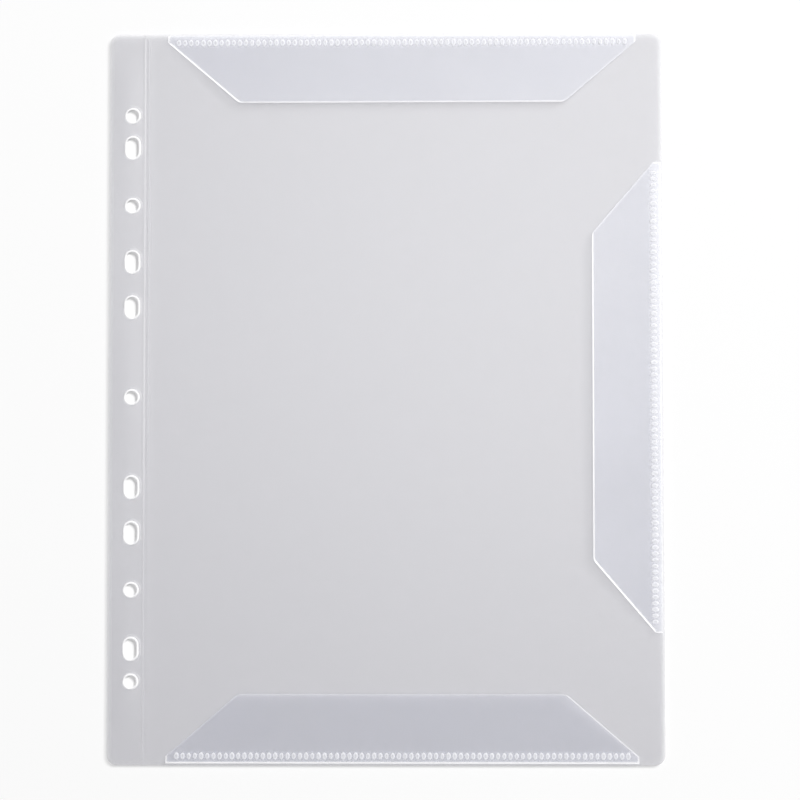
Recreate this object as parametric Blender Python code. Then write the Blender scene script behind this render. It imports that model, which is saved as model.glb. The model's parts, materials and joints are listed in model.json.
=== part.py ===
"""Loose-leaf page of a music folder.

A frosted sheet lies flat, front face up. Its punched binding strip bends on a
scored crease, and three clear film flaps are welded along its other edges to
hold a sheet of music. Metres, +Z up, +X towards the right-hand edge, +Y towards
the top edge, origin under the middle of the sheet.
"""

import math

import bmesh
import bpy

# Sheet, cut from one piece of frosted plastic
SHEET_WIDTH = 0.235
SHEET_HEIGHT = 0.310
SHEET_THICKNESS = 0.0004
SHEET_CORNER_RADIUS = 0.0045

# Binding strip: holes for ring binders of several patterns
STRIP_WIDTH = 0.016  # outer edge to the crease
HOLE_COLUMN = 0.010  # outer edge to the hole centres
HOLE_DIAMETER = 0.0058
SLOT_LENGTH = 0.0093
ROUND_HOLE_HEIGHTS = (0.0, 0.0815, 0.120)  # from the middle, on both sides
SLOT_HEIGHTS = (0.0382, 0.0575, 0.1063)

# Scored crease: both plates thin down to a lip at the back face
GROOVE_WIDTH = 0.0016
GROOVE_WEB = 0.00015
CREASE_GAP = 0.0006

# Flaps, three alike, cut from clear film
FILM_THICKNESS = 0.0002
FLAP_LENGTH = 0.199  # along the sheet's edge
FLAP_DEPTH = 0.030  # sheet's edge to free edge
FLAP_FREE_EDGE = 0.138
FLAP_STRAIGHT_END = 0.0038  # sheet's edge to the start of the slanted ends
FLAP_CORNER_RADIUS = 0.004
FLAP_INSET = 0.0008  # sheet's edge to the film's outer edge
FLAP_CREASE_DISTANCE = 0.009  # crease to the near end of the top and bottom flaps
FLAP_REST_ANGLE = math.radians(5)
FOLD_DEPTH = 0.0058  # sheet's edge to the fold
FOLD_GAP = 0.0003

# Weld seams between sheet and film
WELD_INSET = 0.0024  # sheet's edge to the seam
WELD_WIDTH = 0.0030
WELD_END_MARGIN = 0.0030  # flap's end to the seam
WELD_HEIGHT = 0.00025
WELD_WEB = 0.0001
RIB_PITCH = 0.0026
RIB_WIDTH = 0.0018
SEAT_GAP = 0.00005

# Roundness and cutting
CORNER_STEPS = 8
HOLE_STEPS = 24
CUT_MARGIN = 0.002
WELD_DISTANCE = 0.000001
SMOOTH_ANGLE = math.radians(30)

# Heights above the back face
WELD_BOTTOM = SHEET_THICKNESS + SEAT_GAP
FILM_BOTTOM = WELD_BOTTOM + WELD_HEIGHT + SEAT_GAP
FILM_TOP = FILM_BOTTOM + FILM_THICKNESS

CREASE_X = STRIP_WIDTH - SHEET_WIDTH / 2
FLAP_CENTRE_X = CREASE_X + FLAP_CREASE_DISTANCE + FLAP_LENGTH / 2


def clear_scene():
    for old in list(bpy.data.objects):
        bpy.data.objects.remove(old, do_unlink=True)


def new_collection(name):
    collection = bpy.data.collections.new(name)
    bpy.context.scene.collection.children.link(collection)
    return collection


def plastic(name, colour, roughness, alpha):
    material = bpy.data.materials.new(name)
    material.use_nodes = True
    shader = material.node_tree.nodes["Principled BSDF"]
    shader.inputs["Base Color"].default_value = (*colour, 1.0)
    shader.inputs["Roughness"].default_value = roughness
    shader.inputs["Metallic"].default_value = 0.0
    shader.inputs["Alpha"].default_value = alpha
    return material


def empty(name, collection, location, rotation=(0.0, 0.0, 0.0), parent=None):
    axis = bpy.data.objects.new(name, None)
    axis.location = location
    axis.rotation_euler = rotation
    axis.parent = parent
    axis.empty_display_size = WELD_WIDTH
    collection.objects.link(axis)
    return axis


def arc(centre, radius, start, end, steps):
    """Points along an arc, both ends included."""
    angles = [start + (end - start) * i / steps for i in range(steps + 1)]
    return [(centre[0] + radius * math.cos(a), centre[1] + radius * math.sin(a)) for a in angles]


def rounded(corners):
    """An anticlockwise outline of (x, y, radius) corners, with an arc at each rounded one."""
    points = []
    for i, (x, y, radius) in enumerate(corners):
        if radius == 0:
            points.append((x, y))
            continue
        before = corners[i - 1]
        after = corners[(i + 1) % len(corners)]
        inward = math.atan2(y - before[1], x - before[0])
        outward = math.atan2(after[1] - y, after[0] - x)
        turn = (outward - inward) % (2 * math.pi)
        tangent = radius * math.tan(turn / 2)
        start = (x - tangent * math.cos(inward), y - tangent * math.sin(inward))
        centre = (start[0] - radius * math.sin(inward), start[1] + radius * math.cos(inward))
        first = inward - math.pi / 2
        points += arc(centre, radius, first, first + turn, CORNER_STEPS)
    return points


def slot(x, y, width, length):
    """An upright hole with round ends."""
    radius = width / 2
    reach = (length - width) / 2
    half = HOLE_STEPS // 2
    points = arc((x, y + reach), radius, 0, math.pi, half)
    return points + arc((x, y - reach), radius, math.pi, 2 * math.pi, half)


def round_hole(x, y, diameter):
    return arc((x, y), diameter / 2, 0, 2 * math.pi, HOLE_STEPS)[:-1]


def both_ways(heights):
    """Each height above and below the middle, the middle itself once."""
    return sorted({sign * height for height in heights for sign in (-1, 1)})


def plate(name, outlines, thickness, material, collection):
    """A flat plate of the first outline, less the others, halved by its own XY plane."""
    curve = bpy.data.curves.new(name, "CURVE")
    curve.dimensions = "2D"
    curve.fill_mode = "BOTH"
    curve.extrude = thickness / 2
    for outline in outlines:
        spline = curve.splines.new("POLY")
        spline.points.add(len(outline) - 1)
        spline.use_cyclic_u = True
        for point, (x, y) in zip(spline.points, outline):
            point.co = (x, y, 0.0, 1.0)
    drawn = bpy.data.objects.new(name + "_outline", curve)
    collection.objects.link(drawn)
    evaluated = drawn.evaluated_get(bpy.context.evaluated_depsgraph_get())
    mesh = bpy.data.meshes.new_from_object(evaluated)
    bpy.data.objects.remove(drawn, do_unlink=True)
    bpy.data.curves.remove(curve)

    shape = bmesh.new()
    shape.from_mesh(mesh)
    bmesh.ops.remove_doubles(shape, verts=shape.verts, dist=WELD_DISTANCE)
    bmesh.ops.recalc_face_normals(shape, faces=shape.faces)
    shape.to_mesh(mesh)
    shape.free()
    mesh.name = name
    mesh.materials.clear()
    mesh.materials.append(material)
    mesh.shade_smooth()
    mesh.set_sharp_from_angle(angle=SMOOTH_ANGLE)
    piece = bpy.data.objects.new(name, mesh)
    collection.objects.link(piece)
    return piece


def put(piece, parent, location, rotation=(0.0, 0.0, 0.0)):
    piece.parent = parent
    piece.location = location
    piece.rotation_euler = rotation


def groove_cutter(collection, parent):
    """The score on the front face, cut into the strip and the panel alike."""
    top = SHEET_THICKNESS + CUT_MARGIN
    mesh = bpy.data.meshes.new("crease_groove")
    shape = bmesh.new()
    bmesh.ops.create_cube(shape, size=1.0)
    size = (GROOVE_WIDTH, SHEET_HEIGHT + 2 * CUT_MARGIN, top - GROOVE_WEB)
    bmesh.ops.scale(shape, vec=size, verts=shape.verts)
    shape.to_mesh(mesh)
    shape.free()
    cutter = bpy.data.objects.new("crease_groove", mesh)
    put(cutter, parent, (0.0, 0.0, (top + GROOVE_WEB) / 2))
    cutter.hide_render = True
    cutter.display_type = "WIRE"
    collection.objects.link(cutter)
    return cutter


def cut(piece, cutter):
    boolean = piece.modifiers.new(cutter.name, "BOOLEAN")
    boolean.operation = "DIFFERENCE"
    boolean.solver = "EXACT"
    boolean.object = cutter


def binding_strip(collection, crease, material):
    """The punched strip, left of the crease and turning on it."""
    half = SHEET_HEIGHT / 2
    outer = -STRIP_WIDTH
    inner = -CREASE_GAP / 2
    outline = rounded(
        [
            (outer, -half, SHEET_CORNER_RADIUS),
            (inner, -half, 0),
            (inner, half, 0),
            (outer, half, SHEET_CORNER_RADIUS),
        ]
    )
    column = outer + HOLE_COLUMN
    holes = [round_hole(column, height, HOLE_DIAMETER) for height in both_ways(ROUND_HOLE_HEIGHTS)]
    slots = [slot(column, height, HOLE_DIAMETER, SLOT_LENGTH) for height in both_ways(SLOT_HEIGHTS)]
    strip = plate("binding_strip", [outline, *holes, *slots], SHEET_THICKNESS, material, collection)
    put(strip, crease, (0.0, 0.0, SHEET_THICKNESS / 2))
    return strip


def page_panel(collection, crease, material):
    """The page itself, right of the crease, which carries the flaps."""
    half = SHEET_HEIGHT / 2
    inner = CREASE_GAP / 2
    outer = SHEET_WIDTH - STRIP_WIDTH
    outline = rounded(
        [
            (inner, -half, 0),
            (outer, -half, SHEET_CORNER_RADIUS),
            (outer, half, SHEET_CORNER_RADIUS),
            (inner, half, 0),
        ]
    )
    panel = plate("page_panel", [outline], SHEET_THICKNESS, material, collection)
    put(panel, crease, (0.0, 0.0, SHEET_THICKNESS / 2))
    return panel


def flap_half_length(depth):
    """Half the flap's length at a depth from the sheet's edge."""
    slant = (FLAP_LENGTH - FLAP_FREE_EDGE) / 2 / (FLAP_DEPTH - FLAP_STRAIGHT_END)
    return FLAP_LENGTH / 2 - slant * max(0.0, depth - FLAP_STRAIGHT_END)


def flap_margin(side, collection, edge, material):
    """The outer border of a flap, welded down: x along the edge, y inwards from it."""
    inner = FOLD_DEPTH - FOLD_GAP / 2
    outline = [
        (-FLAP_LENGTH / 2, FLAP_INSET),
        (FLAP_LENGTH / 2, FLAP_INSET),
        (FLAP_LENGTH / 2, FLAP_STRAIGHT_END),
        (flap_half_length(inner), inner),
        (-flap_half_length(inner), inner),
        (-FLAP_LENGTH / 2, FLAP_STRAIGHT_END),
    ]
    margin = plate(side + "_flap_margin", [outline], FILM_THICKNESS, material, collection)
    put(margin, edge, (0.0, 0.0, FILM_BOTTOM + FILM_THICKNESS / 2))


def weld_seam(side, collection, edge, material):
    """The row of fused ribs on a thin web, between the sheet and the film's border."""
    half = FLAP_LENGTH / 2 - WELD_END_MARGIN
    ribs = int((2 * half - RIB_WIDTH) // RIB_PITCH) + 1
    first = -(ribs - 1) * RIB_PITCH / 2
    profile = [(-half, 0.0), (half, 0.0), (half, WELD_WEB)]
    for i in reversed(range(ribs)):
        centre = first + i * RIB_PITCH
        left = centre - RIB_WIDTH / 2
        right = centre + RIB_WIDTH / 2
        profile += [(right, WELD_WEB), (right, WELD_HEIGHT), (left, WELD_HEIGHT), (left, WELD_WEB)]
    profile.append((-half, WELD_WEB))
    seam = plate(side + "_weld_seam", [profile], WELD_WIDTH, material, collection)
    middle = WELD_INSET + WELD_WIDTH / 2
    put(seam, edge, (0.0, middle, WELD_BOTTOM), (math.pi / 2, 0.0, 0.0))


def flap(side, collection, edge, material):
    """The free part of a flap, turning on the fold at the film's top face."""
    fold = empty(
        side + "_fold", collection, (0.0, FOLD_DEPTH, FILM_TOP), (FLAP_REST_ANGLE, 0.0, 0.0), edge
    )
    root = FOLD_GAP / 2
    tip = FLAP_DEPTH - FOLD_DEPTH
    at_root = flap_half_length(FOLD_DEPTH + root)
    at_tip = flap_half_length(FLAP_DEPTH)
    outline = rounded(
        [
            (-at_root, root, 0),
            (at_root, root, 0),
            (at_tip, tip, FLAP_CORNER_RADIUS),
            (-at_tip, tip, FLAP_CORNER_RADIUS),
        ]
    )
    panel = plate(side + "_flap", [outline], FILM_THICKNESS, material, collection)
    put(panel, fold, (0.0, 0.0, -FILM_THICKNESS / 2))


def main():
    clear_scene()
    parts = new_collection("music_folder_page")
    cutters = new_collection("cutters")
    frosted = plastic("frosted_sheet", (0.80, 0.80, 0.83), 0.55, 0.6)
    clear = plastic("clear_film", (0.86, 0.88, 0.93), 0.12, 0.3)
    fused = plastic("weld", (0.90, 0.90, 0.93), 0.30, 0.6)

    crease = empty("crease_axis", parts, (CREASE_X, 0.0, 0.0))
    cutter = groove_cutter(cutters, crease)
    cut(binding_strip(parts, crease, frosted), cutter)
    cut(page_panel(parts, crease, frosted), cutter)

    edges = {
        "top": ((FLAP_CENTRE_X, SHEET_HEIGHT / 2, 0.0), math.pi),
        "right": ((SHEET_WIDTH / 2, 0.0, 0.0), math.pi / 2),
        "bottom": ((FLAP_CENTRE_X, -SHEET_HEIGHT / 2, 0.0), 0.0),
    }
    for side, (place, turn) in edges.items():
        edge = empty(side + "_edge", parts, place, (0.0, 0.0, turn))
        flap_margin(side, parts, edge, clear)
        weld_seam(side, parts, edge, fused)
        flap(side, parts, edge, clear)


main()
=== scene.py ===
"""Looks of a loose-leaf music page: frosted sheet, clear flaps, ribbed welds and a white studio."""

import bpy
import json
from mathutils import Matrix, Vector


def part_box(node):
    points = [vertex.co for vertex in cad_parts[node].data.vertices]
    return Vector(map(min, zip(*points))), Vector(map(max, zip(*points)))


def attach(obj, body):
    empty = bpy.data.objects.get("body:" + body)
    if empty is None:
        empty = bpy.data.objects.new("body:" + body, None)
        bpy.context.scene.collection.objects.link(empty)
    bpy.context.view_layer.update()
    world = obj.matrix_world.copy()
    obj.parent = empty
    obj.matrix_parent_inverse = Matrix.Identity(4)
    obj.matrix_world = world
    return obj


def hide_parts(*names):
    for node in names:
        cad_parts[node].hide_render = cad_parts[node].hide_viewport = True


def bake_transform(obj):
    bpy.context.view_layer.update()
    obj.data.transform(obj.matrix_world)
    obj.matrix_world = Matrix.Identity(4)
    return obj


bl_info = {
    "name": "Music folder page",
    "version": (1, 0, 0),
    "blender": (4, 5, 0),
    "location": "View3D > Sidebar > Music page",
    "description": "Builds a frosted loose-leaf page with clear flaps that hold sheet music",
    "category": "Add Mesh",
}

import json
import math

import bmesh
import bpy
import numpy as np
from bpy.props import FloatProperty, FloatVectorProperty, IntProperty, PointerProperty
from mathutils import Matrix, Vector

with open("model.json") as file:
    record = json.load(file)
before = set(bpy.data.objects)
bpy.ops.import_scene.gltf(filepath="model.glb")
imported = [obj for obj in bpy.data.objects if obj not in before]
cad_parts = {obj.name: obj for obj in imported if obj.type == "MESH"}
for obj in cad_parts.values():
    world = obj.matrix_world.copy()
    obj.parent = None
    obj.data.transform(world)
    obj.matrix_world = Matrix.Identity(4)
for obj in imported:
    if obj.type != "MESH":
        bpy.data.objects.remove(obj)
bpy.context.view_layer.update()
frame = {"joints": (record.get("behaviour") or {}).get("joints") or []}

MM = 0.001

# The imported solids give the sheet, the folds and the films their places.
JOINTS = {joint["name"]: joint for joint in frame["joints"]}
STRIP_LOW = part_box("binding_strip")[0]
PANEL_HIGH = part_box("page_panel")[1]
FLAP_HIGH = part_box("top_flap")[1]
MARGIN_LOW, MARGIN_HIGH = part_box("top_flap_margin")
WELD_LOW, WELD_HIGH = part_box("top_weld_seam")

HALF_WIDTH = PANEL_HIGH.x
HALF_HEIGHT = PANEL_HIGH.y
SHEET_THICKNESS = PANEL_HIGH.z
CREASE_X = JOINTS["crease_fold"]["pos_m"][0]
STRIP_WIDTH = CREASE_X - STRIP_LOW.x

FLAP_CENTRE_X = JOINTS["top_flap_lift"]["pos_m"][0]
FOLD_DEPTH = HALF_HEIGHT - JOINTS["top_flap_lift"]["pos_m"][1]
FILM_TOP = MARGIN_HIGH.z
FILM_THICKNESS = MARGIN_HIGH.z - MARGIN_LOW.z
FILM_INSET = HALF_HEIGHT - MARGIN_HIGH.y
FILM_HALF_LENGTH = (MARGIN_HIGH.x - MARGIN_LOW.x) / 2
FILM_REST_RISE = FLAP_HIGH.z - FILM_TOP

# Each flap's turn about Z from the bottom one, the middle of the sheet edge it is welded to,
# how strongly its outer edge shows, and how much whiter the border inside that edge is made.
# The outer edge's strength is set per side as painted glint, strongest on the side that faces away from the
# light.
FLAPS = {
    "bottom": (0.0, (FLAP_CENTRE_X, -HALF_HEIGHT), 0.62, 0.0),
    "right": (math.pi / 2, (HALF_WIDTH, 0.0), 0.28, 0.12),
    "top": (math.pi, (FLAP_CENTRE_X, HALF_HEIGHT), 0.10, 0.0),
}

# Softboxes: the way to each from the page, its distance and the length of its sides.
KEY_DIRECTION, KEY_DISTANCE, KEY_SIZE = (0.60, 0.49, 0.63), 12.0, 4.0
TOP_DIRECTION, TOP_DISTANCE, TOP_SIZE = (0.087, 0.185, 1.0), 8.0, 3.9
# The way to the key light across the page: film edges and hole lips get painted glint by how they face it.
LIGHT_PLAN = Vector(KEY_DIRECTION).xy.normalized()

# The sheet doesn't lie quite flat, so the table is a little below it.
FLOOR_GAP = 0.90 * MM
FLOOR_REACH = 6.0
CAMERA_PLACE = (21.5 * MM, -43.9 * MM, 939.4 * MM)
CAMERA_TURN = tuple(math.radians(angle) for angle in (2.591, 0.931, -0.04))
# How many see-through faces a ray may pass.
CLEAR_LAYERS = 32

# The mesh attribute that says how strongly a cut edge shows. Strengths above nought whiten the plastic,
# and those below it make a thin, clearer rim. It also carries painted glints on edges, hole lips and crease
# ridges, and painted light at the sheet's rim.
EDGE_AND_GLINT = "cut_edge"
EDGE_ROUGHNESS = 0.7
EDGE_WHITENING = 3.0
SHARP_ANGLE = math.radians(38.0)
BUMP_DISTANCE = 0.05 * MM
# How much of the light one face of a film or a rib keeps from what lies under it.
FILM_SHADOW = 0.14
WELD_SHADOW = 0.08

# Punching of the binding strip, as heights above and below the middle of the page.
ROUND_HOLE_HEIGHTS = (0.0, 81.5 * MM, 120.0 * MM)
SLOT_HEIGHTS = (38.2 * MM, 57.5 * MM, 106.3 * MM)
# Loops of faces round a hole: distance from its edge, height of the burr, strength of the white lip, and
# strength of a faint painted highlight arc on the side towards the light.
HOLE_LOOPS = (
    (1.50 * MM, 0.0, 0.0, 0.0), (1.25 * MM, 0.0, 0.0, 0.22), (1.0 * MM, 0.0, 0.0, 0.0),
    (0.65 * MM, 0.0, 0.0, 0.0), (0.40 * MM, 0.04 * MM, 0.40, 0.0), (0.15 * MM, 0.08 * MM, 0.95, 0.0),
    (-0.10 * MM, 0.08 * MM, 1.0, 0.0), (-0.30 * MM, 0.02 * MM, 0.85, 0.0),
)
# Share of the lip's strength on the side away from the light, and on the side towards it: a painted highlight
# that makes the lip brighter where it faces the light.
HOLE_LIP_GLINT = (0.35, 1.0)
# How far the patch of the sheet's grid that a hole's loops fill reaches out from the hole's middle line.
HOLE_FRAME = 4.8 * MM

# Loops of faces along the sheet's outline: distance from it, height of the burr, strength of the rim.
RIM_LOOPS = (
    (2.4 * MM, 0.0, 0.0), (1.7 * MM, 0.0, -0.10), (0.8 * MM, 0.0, -0.28),
    (0.25 * MM, 0.01 * MM, -0.45), (0.0, 0.0, -0.5),
)
# How strongly each side of the thin clear rim shows: towards -X, +X, -Y and +Y. The sides differ as painted
# light, where light leaks under the sheet's edges.
RIM_LIGHT_LEAK = (1.0, 0.55, 0.3, 0.85)
# Spacing of the sheet's points beside the holes and over the page, and spans round a corner.
FINE_STEP = 1.2 * MM
COARSE_STEP = 3.0 * MM
CORNER_STEPS = 8

# Distances from the crease at which the sheet has lines of points, to shape the two scored ridges.
CREASE_LINES = tuple(gap * MM for gap in (0.0, 0.15, 0.30, 0.45, 0.60, 0.70, 0.80, 0.90, 1.0, 1.2))
RIDGE_WIDTH = 0.28 * MM
GROOVE_HALF_WIDTH = 0.35 * MM
# How strongly the painted glint on the ridges towards -X and +X shows, and how it fades down the page to a
# share of that.
RIDGE_GLINT = {-1: 0.13, 1: 0.03}
RIDGE_GLINT_FADE = (-75.0 * MM, 0.0)
RIDGE_GLINT_FADED = 0.25
# The strip waves up and down along its length, and lies flat at both ends.
STRIP_WAVE_LENGTH = 125.0 * MM
STRIP_END = 25.0 * MM

# Distances from a film's edge at which it has points, and where its white rim is full and gone.
FILM_EDGE_GAPS = tuple(gap * MM for gap in (0.0, 0.35, 0.70, 1.05, 1.7))
FILM_EDGE_FULL = 0.30 * MM
FILM_EDGE_END = 0.95 * MM
FILM_BEAD = 0.04 * MM
# Strength of a film's rim: a plain whiteness anywhere, then painted glint where it faces the light and away
# from it, and the strength at the straight ends.
FILM_EDGE_SHOW = 0.16
FILM_EDGE_GLINT_TOWARDS, FILM_EDGE_GLINT_TOWARDS_POWER = 0.30, 6
FILM_EDGE_GLINT_AWAY, FILM_EDGE_GLINT_AWAY_POWER = 0.80, 3.5
FILM_END_SHOW = 0.45
# Depths at which the whiter border is full and gone.
BORDER_WHITE_FULL = 2.6 * MM
BORDER_WHITE_END = 5.4 * MM
# Slow waves of a film: rate along the flap, times its turn, rate across its depth, share of the height.
FILM_WAVES = ((52.0, 1.0, 0.0, 0.6), (97.0, 2.0, 60.0, 0.4))
# Spans along a film, and the spacing of its lines of points from the weld to the free edge.
FILM_COLUMNS = 64
WELD_STEP = 0.5 * MM
MARGIN_STEP = 0.4 * MM
FOLD_STEP = 0.15 * MM
FLAP_STEP = 1.2 * MM
FILM_CORNER_STEP = 0.12 * MM
# How far the bend reaches to either side of a fold.
FOLD_BEFORE = 0.3 * MM
FOLD_AFTER = 0.9 * MM

# Rings of a rib: share of its half-size, share of its height, strength of its fused rim.
RIB_RINGS = ((1.0, 0.0, 0.2), (0.90, 0.84, 0.9), (0.68, 1.0, 1.0), (0.36, 0.92, 0.15))
RIB_SIDES = 12
RIB_SEED = 7


class SheetLook(bpy.types.PropertyGroup):
    """Sizes and colours of the frosted sheet."""

    color: FloatVectorProperty(
        name="Frost", description="Colour of the frosted plastic", subtype="COLOR",
        default=(0.40, 0.395, 0.44), min=0.0, max=1.0)
    edge_color: FloatVectorProperty(
        name="Cut edge", description="Colour of the sheet's cut edges", subtype="COLOR",
        default=(0.97, 0.97, 0.98), min=0.0, max=1.0)
    cover: FloatProperty(
        name="Cover", description="How much one face of the sheet hides", subtype="FACTOR",
        default=0.36, min=0.0, max=1.0)
    corner_radius: FloatProperty(
        name="Corner radius", description="Radius of the sheet's outer corners", unit="LENGTH",
        default=4.5 * MM, min=0.5 * MM)
    hole_diameter: FloatProperty(
        name="Hole", description="Diameter of the round holes and width of the slots", unit="LENGTH",
        default=5.8 * MM, min=2.0 * MM)
    slot_length: FloatProperty(
        name="Slot", description="Length of the slotted holes", unit="LENGTH",
        default=9.3 * MM, min=2.0 * MM)
    hole_inset: FloatProperty(
        name="Hole inset", description="Distance of the hole centres from the outer edge", unit="LENGTH",
        default=10.0 * MM, min=4.0 * MM)
    ridge_spacing: FloatProperty(
        name="Crease width", description="Distance between the two ridges of the crease", unit="LENGTH",
        default=1.6 * MM, min=0.5 * MM)
    ridge_height: FloatProperty(
        name="Ridge", description="Height of the scored ridges", unit="LENGTH",
        default=0.025 * MM, min=0.0)
    groove_depth: FloatProperty(
        name="Groove", description="Depth of the groove between the ridges", unit="LENGTH",
        default=0.012 * MM, min=0.0)
    strip_bow: FloatProperty(
        name="Strip bow", description="Least rise of the strip between the crease and its outer edge",
        unit="LENGTH", default=0.05 * MM)
    strip_wave: FloatProperty(
        name="Strip wave", description="Further rise of the strip where it waves up", unit="LENGTH",
        default=0.10 * MM)


class FilmLook(bpy.types.PropertyGroup):
    """Sizes and colours of the clear flaps."""

    color: FloatVectorProperty(
        name="Film", description="Tint of the clear film", subtype="COLOR",
        default=(0.43, 0.475, 0.67), min=0.0, max=1.0)
    edge_color: FloatVectorProperty(
        name="Cut edge", description="Colour of the film's cut edges", subtype="COLOR",
        default=(0.97, 0.97, 0.99), min=0.0, max=1.0)
    cover: FloatProperty(
        name="Cover", description="How much one face of the film hides", subtype="FACTOR",
        default=0.10, min=0.0, max=1.0)
    depth: FloatProperty(
        name="Depth", description="Depth of a flap from the sheet's edge", unit="LENGTH",
        default=30.0 * MM, min=10.0 * MM)
    free_edge: FloatProperty(
        name="Free edge", description="Length of a flap's free edge between its corners", unit="LENGTH",
        default=138.0 * MM, min=20.0 * MM)
    straight_end: FloatProperty(
        name="Straight end", description="Depth at which a flap's slanted ends begin", unit="LENGTH",
        default=3.8 * MM, min=1.0 * MM)
    corner_radius: FloatProperty(
        name="Corner radius", description="Radius at the ends of the free edge", unit="LENGTH",
        default=4.0 * MM, min=0.5 * MM)
    wave: FloatProperty(
        name="Wave", description="Height of the film's slow waves at its free edge", unit="LENGTH",
        default=0.16 * MM, min=0.0)


class WeldLook(bpy.types.PropertyGroup):
    """Sizes and colours of the ribbed welds."""

    color: FloatVectorProperty(
        name="Weld", description="Colour of the fused plastic", subtype="COLOR",
        default=(0.93, 0.93, 0.95), min=0.0, max=1.0)
    edge_color: FloatVectorProperty(
        name="Rib rim", description="Colour of the raised rim of a rib", subtype="COLOR",
        default=(0.98, 0.98, 1.0), min=0.0, max=1.0)
    cover: FloatProperty(
        name="Cover", description="How much one face of a rib hides", subtype="FACTOR",
        default=0.25, min=0.0, max=1.0)
    pitch: FloatProperty(
        name="Pitch", description="Distance from rib to rib", unit="LENGTH",
        default=2.6 * MM, min=0.5 * MM)
    width: FloatProperty(
        name="Rib width", description="Width of a rib along the weld", unit="LENGTH",
        default=2.0 * MM, min=0.2 * MM)
    length: FloatProperty(
        name="Rib length", description="Length of a rib across the weld", unit="LENGTH",
        default=3.1 * MM, min=0.2 * MM)
    proud: FloatProperty(
        name="Rib height", description="Height of a rib above the film", unit="LENGTH",
        default=0.10 * MM, min=0.0)
    unevenness: FloatProperty(
        name="Unevenness", description="Spread of the ribs' sizes", subtype="FACTOR",
        default=0.10, min=0.0, max=0.4)
    seed: IntProperty(name="Seed", description="Seed of the ribs' sizes", default=RIB_SEED, min=0)


class StudioLook(bpy.types.PropertyGroup):
    """Floor, light and camera."""

    floor_color: FloatVectorProperty(
        name="Floor", description="Colour of the floor", subtype="COLOR",
        default=(0.98, 0.98, 0.98), min=0.0, max=1.0)
    key_level: FloatProperty(
        name="Key light", description="Brightness that the key light gives a white floor",
        default=0.625, min=0.0)
    top_level: FloatProperty(
        name="Top light", description="Brightness that the top light gives a white floor",
        default=0.30, min=0.0)
    room_level: FloatProperty(
        name="Room light", description="Brightness of the room all round",
        default=0.12, min=0.0)
    lens: FloatProperty(
        name="Lens", description="Focal length of the camera", unit="CAMERA",
        default=100.0, min=10.0)


def divided(low, high, step):
    """Points from low to high, both included, no further apart than step."""
    count = max(1, math.ceil((high - low) / step - 1e-6))
    return [low + (high - low) * index / count for index in range(count + 1)]


def chained(stops, steps):
    """Points that run from stop to stop, each run with its own step."""
    points = [stops[0]]
    for low, high, step in zip(stops, stops[1:], steps):
        points += divided(low, high, step)[1:]
    return points


def smooth_step(low, high, value):
    """0 up to low, 1 from high on, and smooth between."""
    share = np.clip((value - low) / (high - low), 0.0, 1.0)
    return share * share * (3.0 - 2.0 * share)


def bell(value, width):
    """1 at nought, falling to nothing a few widths away."""
    return math.exp(-(value / width) ** 2)


def lift(x, y, look):
    """How far the binding strip bows up off the table, between the crease and its rim."""
    outward = np.clip((CREASE_X - x) / STRIP_WIDTH, 0.0, 1.0)
    arch = (4.0 * outward * (1.0 - outward)) ** 2
    inward = smooth_step(0.0, STRIP_END, HALF_HEIGHT - np.abs(y))
    wave = look.strip_wave * (1.0 + np.cos(2.0 * math.pi * y / STRIP_WAVE_LENGTH)) / 2.0
    return (look.strip_bow + wave) * inward * arch


def settle(mesh, look):
    """Bows a flat sheet as it lies on the table."""
    points = np.empty(len(mesh.vertices) * 3)
    mesh.vertices.foreach_get("co", points)
    points = points.reshape(-1, 3)
    points[:, 2] += lift(points[:, 0], points[:, 1], look)
    mesh.vertices.foreach_set("co", points.ravel())
    mesh.update()


def ring_faces(bm, outer, inner):
    """Joins two closed loops of points, of which the inner one may repeat a point."""
    for index in range(len(outer)):
        following = (index + 1) % len(outer)
        corners = [outer[index], outer[following], inner[following], inner[index]]
        bm.faces.new(list(dict.fromkeys(corners)))


def thicken(bm, back_height):
    """Gives an open front face a back face, at back_height of each point, and walls between them."""
    boundary = [edge.link_loops[0] for edge in bm.edges if edge.is_boundary]
    walls = [(loop.link_loop_next.vert, loop.vert) for loop in boundary]
    copy = bmesh.ops.duplicate(bm, geom=bm.verts[:] + bm.edges[:] + bm.faces[:])
    back_of = copy["vert_map"]
    back_faces = [item for item in copy["geom"] if isinstance(item, bmesh.types.BMFace)]
    bmesh.ops.reverse_faces(bm, faces=back_faces)
    for item in copy["geom"]:
        if isinstance(item, bmesh.types.BMVert):
            item.co.z = back_height(item.co)
    for first, second in walls:
        bm.faces.new((first, second, back_of[second], back_of[first]))


def finished_mesh(bm, name):
    """A smooth mesh with sharp cut edges from a bmesh, which is freed."""
    bm.normal_update()
    mesh = bpy.data.meshes.new(name)
    bm.to_mesh(mesh)
    bm.free()
    mesh.shade_smooth()
    mesh.set_sharp_from_angle(angle=SHARP_ANGLE)
    return mesh


def new_piece(name, mesh, material):
    """An object at the origin that shows a mesh in one material."""
    piece = bpy.data.objects.new(name, mesh)
    mesh.materials.clear()
    mesh.materials.append(material)
    bpy.context.scene.collection.objects.link(piece)
    return piece


def node(tree, kind, **values):
    """A new node whose properties and plain inputs are set by name."""
    made = tree.nodes.new(kind)
    for name, value in values.items():
        if hasattr(made, name):
            setattr(made, name, value)
        else:
            made.inputs[name.replace("_", " ")].default_value = value
    return made


def new_group(name, inputs, outputs):
    """A shader node group with named sockets, and its input and output nodes."""
    group = bpy.data.node_groups.new(name, "ShaderNodeTree")
    for socket, kind in inputs:
        group.interface.new_socket(socket, in_out="INPUT", socket_type=kind)
    for socket, kind in outputs:
        group.interface.new_socket(socket, in_out="OUTPUT", socket_type=kind)
    return group, group.nodes.new("NodeGroupInput"), group.nodes.new("NodeGroupOutput")


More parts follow.
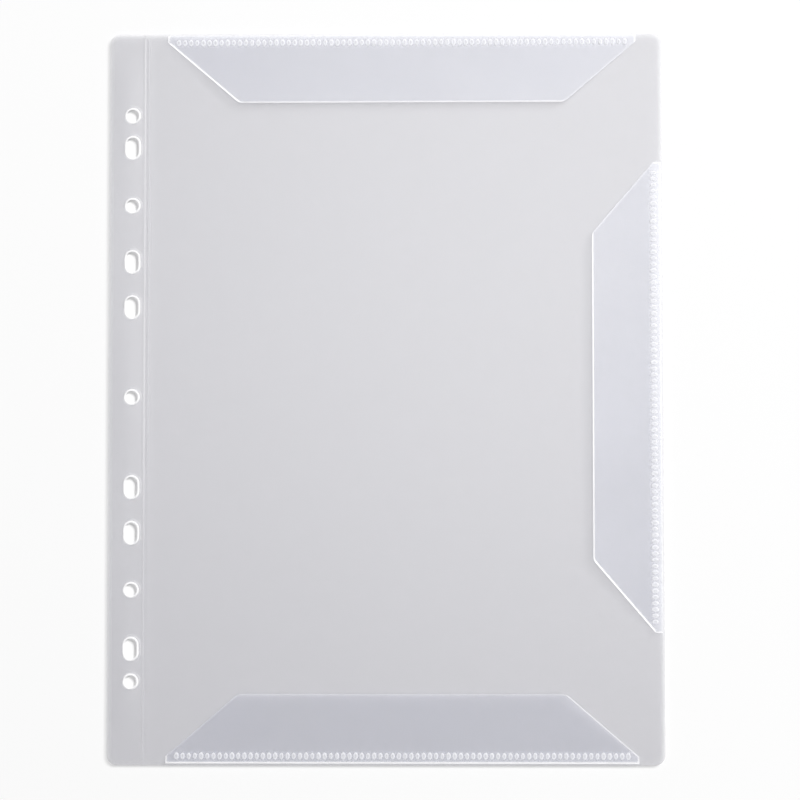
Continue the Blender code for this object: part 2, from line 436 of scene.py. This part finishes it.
def placed_group(tree, group, **values):
    """A group placed in a material, with its own values."""
    placed = tree.nodes.new("ShaderNodeGroup")
    placed.node_tree = group
    for name, value in values.items():
        placed.inputs[name.replace("_", " ")].default_value = value
    return placed


def grain_group():
    """Fine grain and slow mottling of moulded plastic, as values around one half."""
    group, entry, exit_node = new_group(
        "Plastic grain",
        (("Grain Scale", "NodeSocketFloat"), ("Mottle Scale", "NodeSocketFloat")),
        (("Grain", "NodeSocketFloat"), ("Mottle", "NodeSocketFloat")))
    place = node(group, "ShaderNodeTexCoord")
    grain = node(group, "ShaderNodeTexNoise", Detail=3.0, Roughness=0.6)
    mottle = node(group, "ShaderNodeTexNoise", Detail=4.0, Roughness=0.55)
    for noise, scale in ((grain, "Grain Scale"), (mottle, "Mottle Scale")):
        group.links.new(place.outputs["Object"], noise.inputs["Vector"])
        group.links.new(entry.outputs[scale], noise.inputs["Scale"])
    group.links.new(grain.outputs["Fac"], exit_node.inputs["Grain"])
    group.links.new(mottle.outputs["Fac"], exit_node.inputs["Mottle"])
    return group


def edge_and_glint_group():
    """Colour and cover that turn whiter and denser towards a cut edge, and clearer on a thin one, following
    an attribute that also carries painted glints and painted light at the rim.
    """
    group, entry, exit_node = new_group(
        "Cut edge",
        (("Plain Color", "NodeSocketColor"), ("Edge Color", "NodeSocketColor"),
         ("Plain Cover", "NodeSocketFloat"), ("Edge Cover", "NodeSocketFloat")),
        (("Color", "NodeSocketColor"), ("Cover", "NodeSocketFloat"), ("Edge", "NodeSocketFloat")))
    edge = node(group, "ShaderNodeAttribute", attribute_type="GEOMETRY", attribute_name=EDGE_AND_GLINT)
    color = node(group, "ShaderNodeMix", data_type="RGBA")
    cover = node(group, "ShaderNodeMix", data_type="FLOAT", clamp_factor=False)
    white = node(group, "ShaderNodeMath", operation="MULTIPLY", use_clamp=True)
    white.inputs[1].default_value = EDGE_WHITENING
    group.links.new(edge.outputs["Fac"], white.inputs[0])
    group.links.new(white.outputs[0], color.inputs["Factor"])
    group.links.new(entry.outputs["Plain Color"], color.inputs[6])
    group.links.new(entry.outputs["Edge Color"], color.inputs[7])
    group.links.new(edge.outputs["Fac"], cover.inputs["Factor"])
    group.links.new(entry.outputs["Plain Cover"], cover.inputs[2])
    group.links.new(entry.outputs["Edge Cover"], cover.inputs[3])
    group.links.new(color.outputs[2], exit_node.inputs["Color"])
    group.links.new(cover.outputs[0], exit_node.inputs["Cover"])
    group.links.new(edge.outputs["Fac"], exit_node.inputs["Edge"])
    return group


def shared_group(name, make):
    """The node group of that name, made the first time that it is asked for."""
    return bpy.data.node_groups.get(name) or make()


def cast_lightly(tree, shader, shadow_cover):
    """Lets the light through a clear plastic alike all over, so that its white edges cast no dark lines."""
    path = tree.nodes.new("ShaderNodeLightPath")
    cover = node(tree, "ShaderNodeMix", data_type="FLOAT")
    cover.inputs[3].default_value = shadow_cover
    tree.links.new(path.outputs["Is Shadow Ray"], cover.inputs["Factor"])
    tree.links.new(shader.inputs["Alpha"].links[0].from_socket, cover.inputs[2])
    tree.links.new(cover.outputs[0], shader.inputs["Alpha"])


def plastic_material(name, look, edge_cover, grain_scale, mottle_scale, tone_spread, roughness, bump):
    """A see-through plastic with grain, slow mottling, whiter cut edges and painted glints."""
    material = bpy.data.materials.new(name)
    material.use_nodes = True
    tree = material.node_tree
    shader = tree.nodes["Principled BSDF"]
    grain = placed_group(tree, shared_group("Plastic grain", grain_group),
                         Grain_Scale=grain_scale, Mottle_Scale=mottle_scale)
    edge = placed_group(tree, shared_group("Cut edge", edge_and_glint_group),
                        Edge_Color=(*look.edge_color, 1.0), Edge_Cover=edge_cover)

    tone = node(tree, "ShaderNodeMix", data_type="RGBA")
    for socket, level in ((tone.inputs[6], 1.0 - tone_spread), (tone.inputs[7], 1.0 + tone_spread)):
        socket.default_value = (*(min(1.0, channel * level) for channel in look.color), 1.0)
    tree.links.new(grain.outputs["Mottle"], tone.inputs["Factor"])
    tree.links.new(tone.outputs[2], edge.inputs["Plain Color"])
    tree.links.new(edge.outputs["Color"], shader.inputs["Base Color"])

    cover = node(tree, "ShaderNodeMapRange")
    cover.inputs["To Min"].default_value = look.cover * (1.0 - tone_spread)
    cover.inputs["To Max"].default_value = look.cover * (1.0 + tone_spread)
    tree.links.new(grain.outputs["Mottle"], cover.inputs["Value"])
    tree.links.new(cover.outputs["Result"], edge.inputs["Plain Cover"])
    tree.links.new(edge.outputs["Cover"], shader.inputs["Alpha"])

    sheen = node(tree, "ShaderNodeMapRange")
    sheen.inputs["To Min"].default_value = roughness[0]
    sheen.inputs["To Max"].default_value = roughness[1]
    tree.links.new(grain.outputs["Grain"], sheen.inputs["Value"])
    dull = node(tree, "ShaderNodeMix", data_type="FLOAT")
    dull.inputs[3].default_value = EDGE_ROUGHNESS
    tree.links.new(edge.outputs["Edge"], dull.inputs["Factor"])
    tree.links.new(sheen.outputs["Result"], dull.inputs[2])
    tree.links.new(dull.outputs[0], shader.inputs["Roughness"])

    relief = node(tree, "ShaderNodeBump", Strength=bump, Distance=BUMP_DISTANCE)
    tree.links.new(grain.outputs["Grain"], relief.inputs["Height"])
    tree.links.new(relief.outputs["Normal"], shader.inputs["Normal"])
    return material, shader


def frosted_plastic(look):
    """Matte, milky polypropylene sheet."""
    material, shader = plastic_material(
        "frosted plastic", look, edge_cover=0.85, grain_scale=1600.0, mottle_scale=22.0,
        tone_spread=0.03, roughness=(0.32, 0.42), bump=0.25)
    shader.inputs["IOR"].default_value = 2.0
    shader.inputs["Specular IOR Level"].default_value = 1.0
    return material


def clear_film(look):
    """Thin glossy film with a cool tint."""
    material, shader = plastic_material(
        "clear film", look, edge_cover=0.5, grain_scale=45.0, mottle_scale=16.0,
        tone_spread=0.12, roughness=(0.29, 0.37), bump=0.04)
    shader.inputs["IOR"].default_value = 2.65
    shader.inputs["Specular IOR Level"].default_value = 1.0
    cast_lightly(material.node_tree, shader, FILM_SHADOW)
    return material


def fused_plastic(look):
    """Sheet and film melted together, whiter on the rim of each rib."""
    material, shader = plastic_material(
        "fused plastic", look, edge_cover=0.58, grain_scale=900.0, mottle_scale=120.0,
        tone_spread=0.08, roughness=(0.22, 0.40), bump=0.15)
    shader.inputs["IOR"].default_value = 1.5
    shader.inputs["Specular IOR Level"].default_value = 0.8
    cast_lightly(material.node_tree, shader, WELD_SHADOW)
    return material


def crease_profile(x, y, look):
    """Height of the front face above flat beside the crease, and the strength of the painted glint on its
    ridges.
    """
    gap = abs(x - CREASE_X)
    ridge = bell(gap - look.ridge_spacing / 2, RIDGE_WIDTH)
    glint_share = RIDGE_GLINT[-1 if x < CREASE_X else 1]
    glint_share *= RIDGE_GLINT_FADED + (1.0 - RIDGE_GLINT_FADED) * smooth_step(*RIDGE_GLINT_FADE, y)
    return look.ridge_height * ridge - look.groove_depth * bell(gap, GROOVE_HALF_WIDTH), glint_share * ridge


def rim_light_leak(outward):
    """How strongly the sheet's thin clear rim shows on the side that faces outward, set per side as painted
    light that leaks under the edge.
    """
    shares = (max(0.0, -outward.x), max(0.0, outward.x), max(0.0, -outward.y), max(0.0, outward.y))
    return sum(level * share ** 2 for level, share in zip(RIM_LIGHT_LEAK, shares))


def punched_holes(look):
    """Height of each hole and half the straight stretch of its sides, from bottom to top."""
    reach = (look.slot_length - look.hole_diameter) / 2
    holes = [(sign * height, 0.0) for height in ROUND_HOLE_HEIGHTS for sign in (-1, 1)]
    holes += [(sign * height, reach) for height in SLOT_HEIGHTS for sign in (-1, 1)]
    return sorted(set(holes))


def sheet_columns(look):
    """X of the sheet's lines of points, and how many spans the holes' frames are wide."""
    left = -HALF_WIDTH + look.hole_inset - HOLE_FRAME
    crease = [CREASE_X - gap for gap in reversed(CREASE_LINES)] + [CREASE_X + gap for gap in CREASE_LINES[1:]]
    holes = divided(left, crease[0], FINE_STEP)
    page = divided(crease[-1], -left, COARSE_STEP)
    return holes[:-1] + crease + page[1:], len(holes) - 1


def sheet_rows(holes, columns):
    """Y of the sheet's lines of points, and the first and last row of each hole's frame."""
    margin = HALF_WIDTH + columns[0]
    windows = [(y - reach - HOLE_FRAME, y + reach + HOLE_FRAME) for y, reach in holes]
    stops = [margin - HALF_HEIGHT, *(stop for window in windows for stop in window), HALF_HEIGHT - margin]
    rows = chained(stops, [COARSE_STEP, FINE_STEP] * len(windows) + [COARSE_STEP])

    def nearest(y):
        return min(range(len(rows)), key=lambda row: abs(rows[row] - y))

    return rows, [(nearest(low), nearest(high)) for low, high in windows]


def punch(bm, edge, frame_loop, hole, look):
    """Fills a hole's frame with loops that close in on the hole's own outline."""
    height, reach = hole
    hole_x = -HALF_WIDTH + look.hole_inset
    outer = frame_loop
    for gap, burr, strength, glint_arc in HOLE_LOOPS:
        inner = []
        for point in frame_loop:
            core = Vector((hole_x, min(max(point.co.y, height - reach), height + reach)))
            outward = (point.co.xy - core).normalized()
            place = core + outward * (look.hole_diameter / 2 + gap)
            made = bm.verts.new((place.x, place.y, SHEET_THICKNESS + burr))
            # The lip is painted brighter where it faces the light, and the arc is a painted highlight on that
            # side.
            facing = outward.dot(LIGHT_PLAN)
            glint_share = HOLE_LIP_GLINT[0] + (HOLE_LIP_GLINT[1] - HOLE_LIP_GLINT[0]) * (1.0 + facing) / 2
            made[edge] = strength * glint_share + glint_arc * max(0.0, facing) ** 2
            inner.append(made)
        ring_faces(bm, outer, inner)
        outer = inner


def add_border(bm, edge, grid, columns, rows, look):
    """Closes the sheet's grid with loops that follow the round-cornered outline."""
    last, top = len(columns) - 1, len(rows) - 1
    radius = look.corner_radius
    sides = (
        ((0, 0), [(i, 0) for i in range(1, last)], Vector((0, -1))),
        ((last, 0), [(last, j) for j in range(1, top)], Vector((1, 0))),
        ((last, top), [(i, top) for i in range(last - 1, 0, -1)], Vector((0, 1))),
        ((0, top), [(0, j) for j in range(top - 1, 0, -1)], Vector((-1, 0))),
    )
    inner, loops = [], [[] for _ in RIM_LOOPS]
    for quarter, (corner, run, outward) in enumerate(sides):
        at = grid[corner].co
        centre = Vector((math.copysign(HALF_WIDTH - radius, at.x), math.copysign(HALF_HEIGHT - radius, at.y)))
        angles = divided((2 + quarter) * math.pi / 2, (3 + quarter) * math.pi / 2, math.pi / 2 / CORNER_STEPS)
        inner += [grid[corner]] * len(angles) + [grid[key] for key in run]
        for loop, (gap, burr, strength) in zip(loops, RIM_LOOPS):
            facings = [Vector((math.cos(angle), math.sin(angle))) for angle in angles]
            places = [(centre + facing * (radius - gap), facing) for facing in facings]
            for key in run:
                point = grid[key].co.xy
                reach = HALF_WIDTH * abs(outward.x) + HALF_HEIGHT * abs(outward.y) - gap
                places.append((point + outward * (reach - point.dot(outward)), outward))
            for place, facing in places:
                height, ridge = crease_profile(place.x, place.y, look)
                made = bm.verts.new((place.x, place.y, SHEET_THICKNESS + burr + height))
                # Each side's rim strength paints the light that leaks under the edge, and the crease adds its
                # ridges' painted glint.
                made[edge] = strength * rim_light_leak(facing) + ridge
                loop.append(made)
    for outer in loops:
        ring_faces(bm, outer, inner)
        inner = outer


def sheet_mesh(look):
    """The whole sheet: binding strip with its holes, scored crease and page in one skin."""
    bm = bmesh.new()
    edge = bm.verts.layers.float.new(EDGE_AND_GLINT)
    holes = punched_holes(look)
    columns, hole_columns = sheet_columns(look)
    rows, windows = sheet_rows(holes, columns)
    framed = {(i, j) for low, high in windows for j in range(low, high) for i in range(hole_columns)}
    hollow = {(i, j) for low, high in windows for j in range(low + 1, high) for i in range(1, hole_columns)}
    grid = {}
    for i, x in enumerate(columns):
        for j, y in enumerate(rows):
            if (i, j) not in hollow:
                height, ridge = crease_profile(x, y, look)
                grid[i, j] = bm.verts.new((x, y, SHEET_THICKNESS + height))
                # The crease's ridges get their painted glint here.
                grid[i, j][edge] = ridge
    for i in range(len(columns) - 1):
        for j in range(len(rows) - 1):
            if (i, j) not in framed:
                bm.faces.new((grid[i, j], grid[i + 1, j], grid[i + 1, j + 1], grid[i, j + 1]))
    for hole, (low, high) in zip(holes, windows):
        loop = [grid[i, low] for i in range(hole_columns)]
        loop += [grid[hole_columns, j] for j in range(low, high)]
        loop += [grid[i, high] for i in range(hole_columns, 0, -1)]
        loop += [grid[0, j] for j in range(high, low, -1)]
        punch(bm, edge, loop, hole, look)
    add_border(bm, edge, grid, columns, rows, look)
    thicken(bm, lambda point: 0.0)
    return finished_mesh(bm, "frosted_sheet")


def film_outline(look):
    """A flap's half-length and the stretch of its end gaps, both by depth, its ends' slant, and
    the depth at which its rounded corners begin."""
    slant = Vector((FILM_HALF_LENGTH - look.free_edge / 2, look.depth - look.straight_end))
    turn = math.atan2(slant.y, slant.x)
    round_off = look.corner_radius * math.tan(turn / 2)
    arc_start = look.depth - round_off * math.sin(turn)
    arc_x = look.free_edge / 2 - round_off

    def half_length(depth):
        if depth <= look.straight_end:
            return FILM_HALF_LENGTH
        if depth < arc_start:
            return FILM_HALF_LENGTH - (depth - look.straight_end) * slant.x / slant.y
        drop = min(look.corner_radius, depth - look.depth + look.corner_radius)
        return arc_x + math.sqrt(max(0.0, look.corner_radius ** 2 - drop ** 2))

    def stretch(depth):
        return 1.0 / math.sin(turn) if depth > look.straight_end else 1.0

    return half_length, stretch, turn, arc_start


def film_rows(look, arc_start):
    """Depths of a flap's lines of points, close together at its cut edges and its fold."""
    low, high = FOLD_DEPTH - FOLD_BEFORE, FOLD_DEPTH + FOLD_AFTER
    outer = [FILM_INSET + gap for gap in FILM_EDGE_GAPS]
    free = [look.depth - gap for gap in reversed(FILM_EDGE_GAPS)]
    between = chained([outer[-1], look.straight_end, low, high, free[0]],
                      [WELD_STEP, MARGIN_STEP, FOLD_STEP, FLAP_STEP])
    corners = divided(arc_start, look.depth, FILM_CORNER_STEP)
    return sorted({round(depth, 7) for depth in outer + between + free + corners})


def edge_white_and_glint(outward):
    """How strongly a film's cut edge shows: a plain share everywhere, plus painted glint most away from the
    light, less towards it, least along it.
    """
    facing = outward.dot(LIGHT_PLAN)
    glint_towards = FILM_EDGE_GLINT_TOWARDS * max(0.0, facing) ** FILM_EDGE_GLINT_TOWARDS_POWER
    glint_away = FILM_EDGE_GLINT_AWAY * max(0.0, -facing) ** FILM_EDGE_GLINT_AWAY_POWER
    return FILM_EDGE_SHOW + glint_towards + glint_away


def film_mesh(look, turn, weld_edge_and_glint, border_whitening, name):
    """One flap from its welded border to its free edge, as a slowly waving film, in its own frame."""
    half_length, stretch, slant, arc_start = film_outline(look)
    spin = Matrix.Rotation(turn, 2)
    # The free edge and the slanted ends get painted glint by how they face the light.
    free_edge = edge_white_and_glint(spin @ Vector((0.0, 1.0)))
    right_slant, left_slant = (
        edge_white_and_glint(spin @ Vector((sign * math.sin(slant), math.cos(slant)))) for sign in (1.0, -1.0))
    bm = bmesh.new()
    edge = bm.verts.layers.float.new(EDGE_AND_GLINT)
    lines = []
    for depth in film_rows(look, arc_start):
        half, widen = half_length(depth), stretch(depth)
        gaps = [gap * widen for gap in FILM_EDGE_GAPS]
        ends = [half - gap for gap in gaps]
        middle = divided(-ends[-1], ends[-1], 2 * ends[-1] / FILM_COLUMNS)
        slanted = depth > look.straight_end
        line = []
        for along in [-end for end in ends[:-1]] + middle + ends[:-1][::-1]:
            end_gap = (half - abs(along)) / widen
            slant_edge = right_slant if along > 0 else left_slant
            end_edge = slant_edge if slanted else FILM_END_SHOW
            rims = ((weld_edge_and_glint, depth - FILM_INSET), (free_edge, look.depth - depth), (end_edge, end_gap))
            strength = max(level * (1.0 - smooth_step(FILM_EDGE_FULL, FILM_EDGE_END, gap))
                           for level, gap in rims)
            strength = max(strength, border_whitening * (1.0 - smooth_step(BORDER_WHITE_FULL, BORDER_WHITE_END, depth)))
            free = max(0.0, depth - FOLD_DEPTH) / (look.depth - FOLD_DEPTH)
            wave = sum(share * math.sin(along * rate + turns * turn + depth * skew)
                       for rate, turns, skew, share in FILM_WAVES)
            rise = (FILM_REST_RISE + look.wave * wave) * free
            made = bm.verts.new((along, depth, FILM_TOP + rise + FILM_BEAD * strength))
            made[edge] = strength
            line.append(made)
        lines.append(line)
    for low, high in zip(lines, lines[1:]):
        for index in range(len(low) - 1):
            bm.faces.new((low[index], low[index + 1], high[index + 1], high[index]))
    thicken(bm, lambda point: point.z - FILM_THICKNESS)
    return finished_mesh(bm, name)


def flap_place(side):
    """Where a flap's own frame lies on the page: X along the sheet's edge and Y inwards."""
    turn, middle = FLAPS[side][:2]
    return Matrix.Translation((*middle, 0.0)) @ Matrix.Rotation(turn, 4, "Z")


def rib_object(look):
    """One oval weld rib with a raised rim, as the shape that the weld repeats."""
    base = SHEET_THICKNESS
    height = FILM_TOP + look.proud - base
    bm = bmesh.new()
    edge = bm.verts.layers.float.new(EDGE_AND_GLINT)
    outer = None
    for size, rise, strength in RIB_RINGS:
        ring = []
        for step in range(RIB_SIDES):
            angle = 2 * math.pi * step / RIB_SIDES
            made = bm.verts.new((math.cos(angle) * size * look.width / 2,
                                 math.sin(angle) * size * look.length / 2, base + rise * height))
            made[edge] = strength
            ring.append(made)
        if outer is None:
            bm.faces.new(ring[::-1])
        else:
            ring_faces(bm, outer, ring)
        outer = ring
    bm.faces.new(outer)
    rib = bpy.data.objects.new("weld_rib", finished_mesh(bm, "weld_rib"))
    bpy.context.scene.collection.objects.link(rib)
    return rib


def rib_row_tree():
    """Geometry Nodes that repeat one rib along a straight weld."""
    tree = bpy.data.node_groups.new("Rib row", "GeometryNodeTree")
    for name, kind in (("Rib", "NodeSocketObject"), ("Count", "NodeSocketInt"), ("Pitch", "NodeSocketFloat"),
                       ("Unevenness", "NodeSocketFloat"), ("Seed", "NodeSocketInt"),
                       ("Material", "NodeSocketMaterial")):
        tree.interface.new_socket(name, in_out="INPUT", socket_type=kind)
    tree.interface.new_socket("Geometry", in_out="OUTPUT", socket_type="NodeSocketGeometry")
    entry, exit_node = tree.nodes.new("NodeGroupInput"), tree.nodes.new("NodeGroupOutput")

    def math_node(operation, first, second):
        made = node(tree, "ShaderNodeMath", operation=operation)
        for socket, value in zip(made.inputs, (first, second)):
            if isinstance(value, float):
                socket.default_value = value
            else:
                tree.links.new(value, socket)
        return made.outputs[0]

    gaps = math_node("SUBTRACT", entry.outputs["Count"], 1.0)
    half_run = math_node("MULTIPLY", math_node("MULTIPLY", gaps, entry.outputs["Pitch"]), -0.5)
    start, step = node(tree, "ShaderNodeCombineXYZ"), node(tree, "ShaderNodeCombineXYZ")
    tree.links.new(half_run, start.inputs["X"])
    tree.links.new(entry.outputs["Pitch"], step.inputs["X"])
    row = node(tree, "GeometryNodeMeshLine", mode="OFFSET")
    tree.links.new(entry.outputs["Count"], row.inputs["Count"])
    tree.links.new(start.outputs[0], row.inputs["Start Location"])
    tree.links.new(step.outputs[0], row.inputs["Offset"])

    shape = node(tree, "GeometryNodeObjectInfo", transform_space="ORIGINAL")
    tree.links.new(entry.outputs["Rib"], shape.inputs["Object"])
    size = node(tree, "FunctionNodeRandomValue", data_type="FLOAT")
    tree.links.new(math_node("SUBTRACT", 1.0, entry.outputs["Unevenness"]), size.inputs[2])
    tree.links.new(math_node("ADD", 1.0, entry.outputs["Unevenness"]), size.inputs[3])
    tree.links.new(entry.outputs["Seed"], size.inputs["Seed"])
    spread = node(tree, "ShaderNodeCombineXYZ", Z=1.0)
    tree.links.new(size.outputs[1], spread.inputs["X"])
    tree.links.new(size.outputs[1], spread.inputs["Y"])
    ribs = node(tree, "GeometryNodeInstanceOnPoints")
    tree.links.new(row.outputs["Mesh"], ribs.inputs["Points"])
    tree.links.new(shape.outputs["Geometry"], ribs.inputs["Instance"])
    tree.links.new(spread.outputs[0], ribs.inputs["Scale"])
    real = node(tree, "GeometryNodeRealizeInstances")
    tree.links.new(ribs.outputs["Instances"], real.inputs["Geometry"])
    finish = node(tree, "GeometryNodeSetMaterial")
    tree.links.new(real.outputs["Geometry"], finish.inputs["Geometry"])
    tree.links.new(entry.outputs["Material"], finish.inputs["Material"])
    tree.links.new(finish.outputs["Geometry"], exit_node.inputs["Geometry"])
    return tree


def made_by_nodes(name, tree, **inputs):
    """A plain mesh of what a Geometry Nodes tree makes with these inputs."""
    carrier = bpy.data.objects.new(name, bpy.data.meshes.new(name))
    bpy.context.scene.collection.objects.link(carrier)
    modifier = carrier.modifiers.new("nodes", "NODES")
    modifier.node_group = tree
    for item in tree.interface.items_tree:
        if item.item_type == "SOCKET" and item.in_out == "INPUT":
            modifier[item.identifier] = inputs[item.name]
    graph = bpy.context.evaluated_depsgraph_get()
    mesh = bpy.data.meshes.new_from_object(carrier.evaluated_get(graph))
    bpy.data.objects.remove(carrier)
    return mesh


class AddSheet(bpy.types.Operator):
    """Add the frosted sheet with its holes and scored crease"""

    bl_idname = "mesh.page_sheet_add"
    bl_label = "Frosted sheet"

    def execute(self, context):
        look = context.scene.page_sheet
        mesh = sheet_mesh(look)
        settle(mesh, look)
        sheet = new_piece("frosted_sheet", mesh, frosted_plastic(look))
        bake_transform(sheet)
        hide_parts("binding_strip", "page_panel")
        return {"FINISHED"}


class AddFlaps(bpy.types.Operator):
    """Add the three clear flaps, each bending at the fold beside its weld"""

    bl_idname = "mesh.page_flaps_add"
    bl_label = "Clear flaps"

    def execute(self, context):
        look = context.scene.page_film
        material = clear_film(look)
        for side, (turn, _, weld_edge_and_glint, border_whitening) in FLAPS.items():
            place = flap_place(side)
            mesh = film_mesh(look, turn, weld_edge_and_glint, border_whitening, f"{side}_film")
            mesh.transform(place)
            film = new_piece(f"{side}_film", mesh, material)
            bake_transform(film)
            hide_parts(f"{side}_flap", f"{side}_flap_margin")
        return {"FINISHED"}


class AddWelds(bpy.types.Operator):
    """Add the rows of fused ribs that hold the flaps to the sheet"""

    bl_idname = "mesh.page_welds_add"
    bl_label = "Ribbed welds"

    def execute(self, context):
        look = context.scene.page_weld
        material = fused_plastic(look)
        tree = rib_row_tree()
        rib = rib_object(look)
        depth = HALF_HEIGHT - (WELD_LOW.y + WELD_HIGH.y) / 2
        count = int((WELD_HIGH.x - WELD_LOW.x - look.width) / look.pitch) + 1
        for order, side in enumerate(FLAPS):
            mesh = made_by_nodes(f"{side}_ribs", tree, Rib=rib, Count=count, Pitch=look.pitch,
                                 Unevenness=look.unevenness, Seed=look.seed + order, Material=material)
            mesh.transform(flap_place(side) @ Matrix.Translation((0, depth, 0)))
            ribs = new_piece(f"{side}_ribs", mesh, material)
            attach(ribs, "page")
            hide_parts(f"{side}_weld_seam")
        bpy.data.objects.remove(rib)
        return {"FINISHED"}


def add_softbox(name, direction, distance, size, level):
    """A square softbox, that way from the page, that gives a white floor the named brightness."""
    lamp = bpy.data.lights.new(name, "AREA")
    lamp.shape = "SQUARE"
    lamp.size = size
    away = Vector(direction).normalized()
    lamp.energy = level * (math.pi * distance) ** 2 / away.z
    box = bpy.data.objects.new(name, lamp)
    box.location = away * distance
    box.rotation_euler = away.to_track_quat("Z", "Y").to_euler()
    box.visible_camera = False
    bpy.context.scene.collection.objects.link(box)


def white_room(level):
    """A world that lights softly and shows plain white to the camera and in reflections."""
    world = bpy.data.worlds.new("studio")
    bpy.context.scene.world = world
    world.use_nodes = True
    tree = world.node_tree
    soft = tree.nodes["Background"]
    soft.inputs["Color"].default_value = (1.0, 1.0, 1.0, 1.0)
    soft.inputs["Strength"].default_value = level
    shown = node(tree, "ShaderNodeBackground", Color=(1.0, 1.0, 1.0, 1.0), Strength=1.0)
    path = tree.nodes.new("ShaderNodeLightPath")
    seen = path.outputs["Is Camera Ray"]
    for kind in ("Is Glossy Ray", "Is Transmission Ray"):
        either = node(tree, "ShaderNodeMath", operation="MAXIMUM")
        tree.links.new(seen, either.inputs[0])
        tree.links.new(path.outputs[kind], either.inputs[1])
        seen = either.outputs[0]
    choice = tree.nodes.new("ShaderNodeMixShader")
    tree.links.new(seen, choice.inputs["Fac"])
    tree.links.new(soft.outputs["Background"], choice.inputs[1])
    tree.links.new(shown.outputs["Background"], choice.inputs[2])
    tree.links.new(choice.outputs["Shader"], tree.nodes["World Output"].inputs["Surface"])


class SetStudio(bpy.types.Operator):
    """Set up the white floor, the soft light and the camera above the page"""

    bl_idname = "scene.page_studio_set"
    bl_label = "White studio"

    def execute(self, context):
        look = context.scene.page_studio
        scene = context.scene
        scene.view_settings.view_transform = "Standard"
        scene.cycles.transparent_max_bounces = CLEAR_LAYERS

        bm = bmesh.new()
        bmesh.ops.create_grid(bm, x_segments=1, y_segments=1, size=FLOOR_REACH,
                              matrix=Matrix.Translation((0, 0, -FLOOR_GAP)))
        floor_mesh = finished_mesh(bm, "floor")
        paper = bpy.data.materials.new("white paper")
        paper.use_nodes = True
        shader = paper.node_tree.nodes["Principled BSDF"]
        shader.inputs["Base Color"].default_value = (*look.floor_color, 1.0)
        shader.inputs["Roughness"].default_value = 1.0
        shader.inputs["Specular IOR Level"].default_value = 0.0
        floor = new_piece("floor", floor_mesh, paper)

        white_room(look.room_level)
        add_softbox("key light", KEY_DIRECTION, KEY_DISTANCE, KEY_SIZE, look.key_level)
        add_softbox("top light", TOP_DIRECTION, TOP_DISTANCE, TOP_SIZE, look.top_level)

        lens = bpy.data.cameras.new("camera")
        lens.lens = look.lens
        camera = bpy.data.objects.new("camera", lens)
        camera.location = CAMERA_PLACE
        camera.rotation_euler = CAMERA_TURN
        scene.collection.objects.link(camera)
        scene.camera = camera
        return {"FINISHED"}


class PagePanel(bpy.types.Panel):
    """The page's pieces and their settings"""

    bl_idname = "VIEW3D_PT_music_page"
    bl_label = "Music page"
    bl_space_type = "VIEW_3D"
    bl_region_type = "UI"
    bl_category = "Music page"

    def draw(self, context):
        for operator, settings in STEPS:
            box = self.layout.box()
            box.operator(operator.bl_idname)
            look = getattr(context.scene, settings)
            for name in type(look).__annotations__:
                box.prop(look, name)


SETTINGS = {
    "page_sheet": SheetLook,
    "page_film": FilmLook,
    "page_weld": WeldLook,
    "page_studio": StudioLook,
}
STEPS = (
    (AddSheet, "page_sheet"),
    (AddFlaps, "page_film"),
    (AddWelds, "page_weld"),
    (SetStudio, "page_studio"),
)
CLASSES = (*SETTINGS.values(), *(operator for operator, _ in STEPS), PagePanel)


def register():
    for cls in CLASSES:
        bpy.utils.register_class(cls)
    for name, group in SETTINGS.items():
        setattr(bpy.types.Scene, name, PointerProperty(type=group))


def unregister():
    for name in SETTINGS:
        delattr(bpy.types.Scene, name)
    for cls in reversed(CLASSES):
        bpy.utils.unregister_class(cls)


def main():
    register()
    bpy.ops.mesh.page_sheet_add()
    bpy.ops.mesh.page_flaps_add()
    bpy.ops.mesh.page_welds_add()
    bpy.ops.scene.page_studio_set()


if __name__ == "__main__":
    main()
